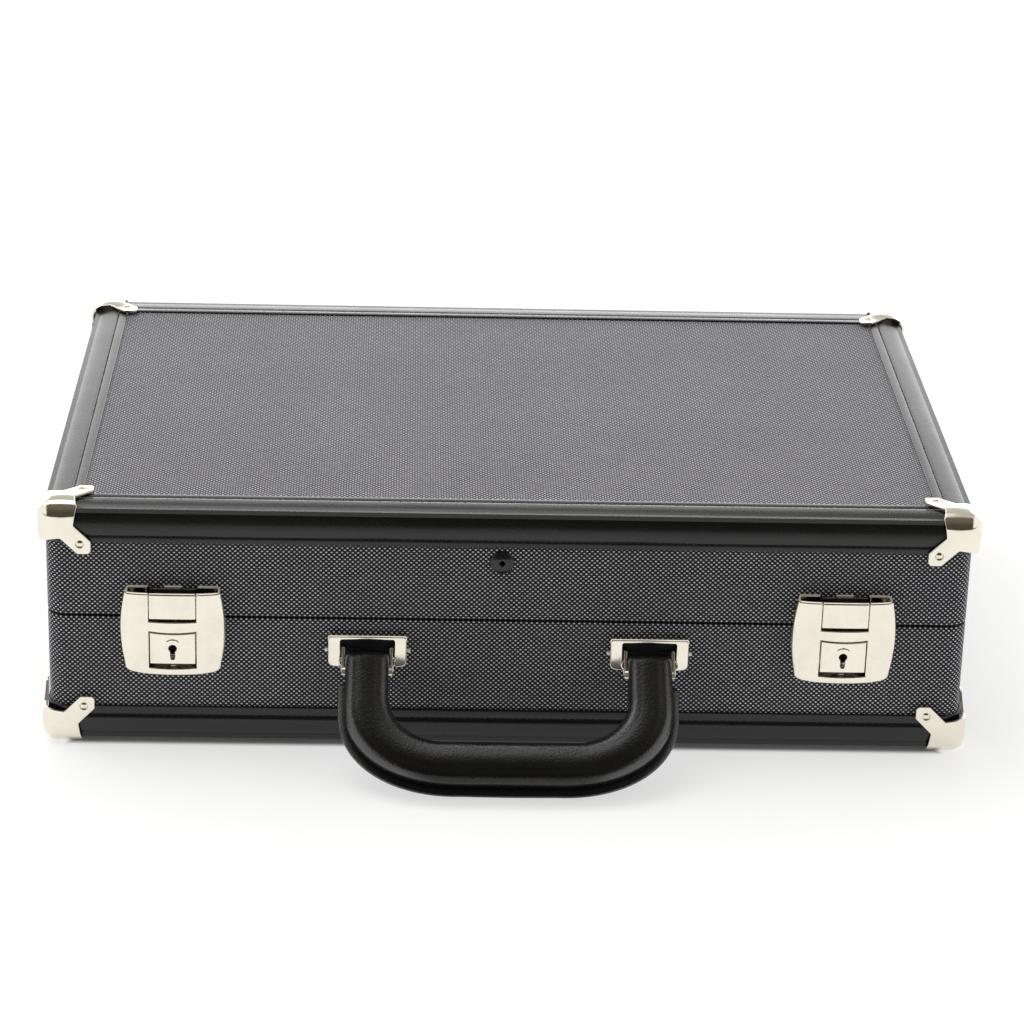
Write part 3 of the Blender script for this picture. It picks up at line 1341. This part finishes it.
def hinge_leaf(name, node, body, mid, half, zs, screw_z, spans, tabs):
    """A plate with knuckles on the spans; tabs, as (xs, zs), tie them to the plate."""
    screws = [(-HINGE_SCREW_X, screw_z), (HINGE_SCREW_X, screw_z)]
    holes = [circle(x, z, 1.9, 20) for x, z in screws]
    outline = rounded_rect(-half, zs[0], half, zs[1], 2.0)
    part = plate([outline] + holes, [0.35, 0.3, 0.3], 1.2, 3)
    placed(part, lambda u, v, w: (mid - u, BACK + 1.5 - w, v))
    for start, end in spans:
        knuckle = barrel(start, end, 2.45, 0.25, 28)
        merge(part, placed(knuckle, across(mid, hinge_y, hinge_z)))
    for (x0, x1), (z0, z1) in tabs:
        merge(part, solid_box((mid + x0, BACK + 0.35, z0), (mid + x1, BACK + 1.5, z1), 0.15))
    for x, z in screws:
        merge(part, placed(lathe(SCREW_HEAD, 20),
                           lambda u, v, w: (mid - x + u, BACK + 1.2 - w, z + v)))
    make(name, part, NICKEL, body, [node], 40, orient=False)


for side, _ in SIDES:
    node = f"hinge_body_leaf_{side}"
    mid = middle(node)
    low, high = box_mm(node)
    lid_top = box_mm(f"hinge_lid_leaf_{side}")[1].z
    half = (high.x - low.x) / 2
    tab_z = (hinge_z - 3.2, hinge_z)
    hinge_leaf(f"hinge_lower_{side}", node, "case_body", mid, half,
               (low.z, hinge_z - 2.7), low.z + HINGE_SCREW_IN,
               ((-half + 0.05, -5.35), (5.35, half - 0.05)),
               (((-half + 0.1, -5.4), tab_z), ((5.4, half - 0.1), tab_z)))
    hinge_leaf(f"hinge_upper_{side}", f"hinge_lid_leaf_{side}", "lid", mid, half,
               (hinge_z + 3.1, lid_top), lid_top - HINGE_SCREW_IN,
               ((-4.95, 4.95),), (((-4.9, 4.9), (hinge_z, hinge_z + 4.0)),))
    rod = [(0, -half - 0.9), (0.8, -half - 0.85), (1.2, -half - 0.5)]
    rod = lathe(rod + [(r, -w) for r, w in rod[::-1]], 20)
    make(f"hinge_rod_{side}", moved(rod, across(mid, hinge_y, hinge_z)), STEEL, "case_body",
         [f"hinge_pin_{side}"], 40)

# ---------------------------------------------------------------- springs, lip, lining and trays
# return spring: a coil that closes up as the button goes down
WIRE_R, COIL_R = 0.28, 1.4
for side, _ in SIDES:
    low, high = box_mm(f"latch_spring_{side}")
    cx, cy = (low.x + high.x) / 2, (low.y + high.y) / 2
    rise = high.z - low.z - 2 * WIRE_R - 0.04
    coil = []
    for k in range(91):
        a = 2 * math.pi * k / 20
        coil.append((cx + COIL_R * math.cos(a), cy + COIL_R * math.sin(a),
                     low.z + WIRE_R + 0.02 + rise * k / 90))
    spring = make(f"latch_coil_{side}", tube(coil, WIRE_R, 8), STEEL, "case_body",
                  [f"latch_spring_{side}"], 60)
    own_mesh(spring)


def dress(node, material, bevel=0.0):
    """Gives a CAD piece its material and, if asked, softened edges."""
    obj = frame["nodes"][node]
    angle = math.radians(30)
    obj.data.materials.clear()
    obj.data.materials.append(material)
    obj.data.shade_smooth()
    obj.data.set_sharp_from_angle(angle=angle)
    if bevel:
        modifier = obj.modifiers.new("soft_edges", "BEVEL")
        modifier.width = bevel * 0.001
        modifier.segments = 2
        modifier.limit_method = "ANGLE"
        modifier.angle_limit = angle
        modifier.harden_normals = True


dress("closing_lip", SATIN, bevel=0.2)
dress("floor_lining", FLOCK)
dress("chip_tray", FLOCK, bevel=0.5)
dress("accessory_tray", FLOCK, bevel=0.5)

# ---------------------------------------------------------------- profiled foam in the lid
# staggered soft pyramids facing down
FOAM_PITCH, FOAM_DEPTH = 30.0, 16.0
FOAM_NX, FOAM_NY = 134, 88
low, high = box_mm("lid_foam")
part = bmesh.new()
grid = []
for j in range(FOAM_NY + 1):
    row = []
    for i in range(FOAM_NX + 1):
        x = low.x + (high.x - low.x) * i / FOAM_NX
        y = low.y + (high.y - low.y) * j / FOAM_NY
        edge = min(x - low.x, high.x - x, y - low.y, high.y - y)
        waves = math.cos(2 * math.pi * x / FOAM_PITCH) + math.cos(2 * math.pi * y / FOAM_PITCH)
        z = low.z + FOAM_DEPTH * (1 - (0.5 + 0.25 * waves)) ** 1.25
        z += 1.2 * max(0.0, 1 - edge / 2.0) ** 2
        row.append(part.verts.new((x, y, z)))
    grid.append(row)
for first, second in zip(grid, grid[1:]):
    for i in range(FOAM_NX):
        part.faces.new((first[i], first[i + 1], second[i + 1], second[i]))
rim = grid[0] + [row[-1] for row in grid[1:]] + grid[-1][-2::-1]
rim += [row[0] for row in grid[-2:0:-1]]
top_rim = [part.verts.new((vert.co.x, vert.co.y, high.z)) for vert in rim]
bridge(part, rim, top_rim)
part.faces.new(top_rim)
make("lid_profiled_foam", part, FOAM, "lid", ["lid_foam"], 60)

# ---------------------------------------------------------------- studio floor
part = bmesh.new()
bmesh.ops.create_grid(part, x_segments=2, y_segments=2, size=6.0)
mesh = bpy.data.meshes.new("floor")
part.to_mesh(mesh)
part.free()
floor = bpy.data.objects.new("floor", mesh)
bpy.context.scene.collection.objects.link(floor)
floor.location = (0, 0, cad_lo.z)


def floor_paper():
    """Pale, faintly glowing paper that looks dark in front of the case except to the camera."""
    g = Surface("floor_paper", (0.9, 0.9, 0.9))
    fibre = g.noise(g.coords(), 400.0, detail=2.0, rough=0.5)
    x, y, _ = g.xyz(g.coords())
    seen = g.node("LightPath", out="Is Camera Ray")
    table = g.op("MAXIMUM", seen, g.ramp(y, -0.78, -0.60))
    # the floor under the case hardly glows
    foot_lo = box_mm("body_trim_front")[0] * 0.001
    foot_hi = box_mm("body_trim_back")[1] * 0.001
    out_x = g.sub(g.op("ABSOLUTE", x), foot_hi.x)
    out_y = g.op("MAXIMUM", g.sub(foot_lo.y, y), g.sub(y, foot_hi.y))
    open_floor = g.ramp(g.op("MAXIMUM", out_x, out_y), -0.0025, 0.0025, 0.08, 1.0)
    return g.set(
        Base_Color=g.mix(table, (0.04, 0.036, 0.03), (0.42, 0.42, 0.418)),
        Roughness=0.85,
        Normal=g.bump(fibre, distance=0.0001, strength=0.1),
        Emission_Color=(1, 1, 1),
        Emission_Strength=g.mul(table, open_floor, 0.63),
        Specular_IOR_Level=0.1,
    )


mesh.materials.append(floor_paper())
floor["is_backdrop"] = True


# ---------------------------------------------------------------- world, light and camera
def studio_world():
    """A dim room to the front, a soft box overhead and a bright wall at the back."""
    world = bpy.data.worlds.new("studio")
    bpy.context.scene.world = world
    world.use_nodes = True
    g = Graph(world.node_tree)
    output = g.tree.nodes.new("ShaderNodeOutputWorld")
    dx, dy, dz = g.xyz(g.coords("Generated"))
    # degrees across the case's front: 0 at the front horizon, 90 overhead, 180 at the back
    theta = g.mul(g.op("ARCTAN2", dz, g.mul(dy, -1.0)), 180 / math.pi)
    # masks of the regions, each with soft borders
    inside = g.ramp(g.op("ABSOLUTE", dx), 0.50, 0.70, 1.0, 0.0)
    room = g.mul(g.ramp(theta, 84.0, 92.0, 1.0, 0.0), inside)
    over = g.mul(g.ramp(theta, 84.0, 92.0), g.ramp(theta, 150.0, 156.0, 1.0, 0.0), inside)
    box = g.mul(
        g.mul(g.ramp(theta, 91.0, 98.0), g.ramp(theta, 128.0, 137.0, 1.0, 0.0)),
        g.mul(g.ramp(dx, -0.75, -0.60), g.ramp(dx, 0.01, 0.15, 1.0, 0.0)),
    )
    wall = g.mul(g.ramp(theta, 150.0, 155.0),
                 g.ramp(g.op("ABSOLUTE", dx), 0.60, 0.80, 1.0, 0.0))
    room_colour = g.mix(g.ramp(theta, 20.0, 85.0), (0.075, 0.064, 0.050), (0.17, 0.155, 0.13))
    colour = g.mix(room, (1.05, 1.05, 1.05), room_colour)
    colour = g.mix(over, colour, (0.55, 0.53, 0.49))
    bright = g.ramp(theta, 154.5, 164.0, 0.5, 3.2)
    colour = g.mix(wall, colour, g.node("CombineColor", {0: bright, 1: bright, 2: bright}))
    colour = g.mix(box, colour, (3.0, 3.0, 3.0))
    # the camera itself sees an even near-white
    colour = g.mix(g.node("LightPath", out="Is Camera Ray"), colour, (1.02, 1.02, 1.02))
    g.put(output.inputs[0], g.node("Background", {0: colour, 1: 1.0}))


studio_world()

light = bpy.data.lights.new("key", "AREA")
light.shape = "RECTANGLE"
light.size, light.size_y = 1.2, 1.2
light.energy = 6.0
light.color = (1, 1, 1)
key = bpy.data.objects.new("key", light)
bpy.context.scene.collection.objects.link(key)
key.location = (-0.55, 0.1, 1.9)
aim = Vector((0, 0, 0.05)) - Vector((-0.55, 0.1, 1.9))
key.rotation_euler = aim.to_track_quat("-Z", "Y").to_euler()
key.visible_glossy = False

lens = bpy.data.cameras.new("camera")
lens.sensor_width = 36.0
lens.lens = 116.87
lens.clip_start, lens.clip_end = 0.05, 50
camera = bpy.data.objects.new("camera", lens)
bpy.context.scene.collection.objects.link(camera)
right = Vector((0.99935217, -0.0247722, 0.02610702))
down = Vector((0.01459691, -0.38406946, -0.92318881))
forward = Vector((0.03289633, 0.92297182, -0.38345905))
rotation = Matrix((right, -down, -forward)).transposed().to_4x4()
camera.matrix_world = Matrix.Translation((-0.04922, -1.51886, 0.68677)) @ rotation
bpy.context.scene.camera = camera

bpy.context.scene.view_settings.view_transform = "Standard"
bpy.context.scene.view_settings.look = "None"

low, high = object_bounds()
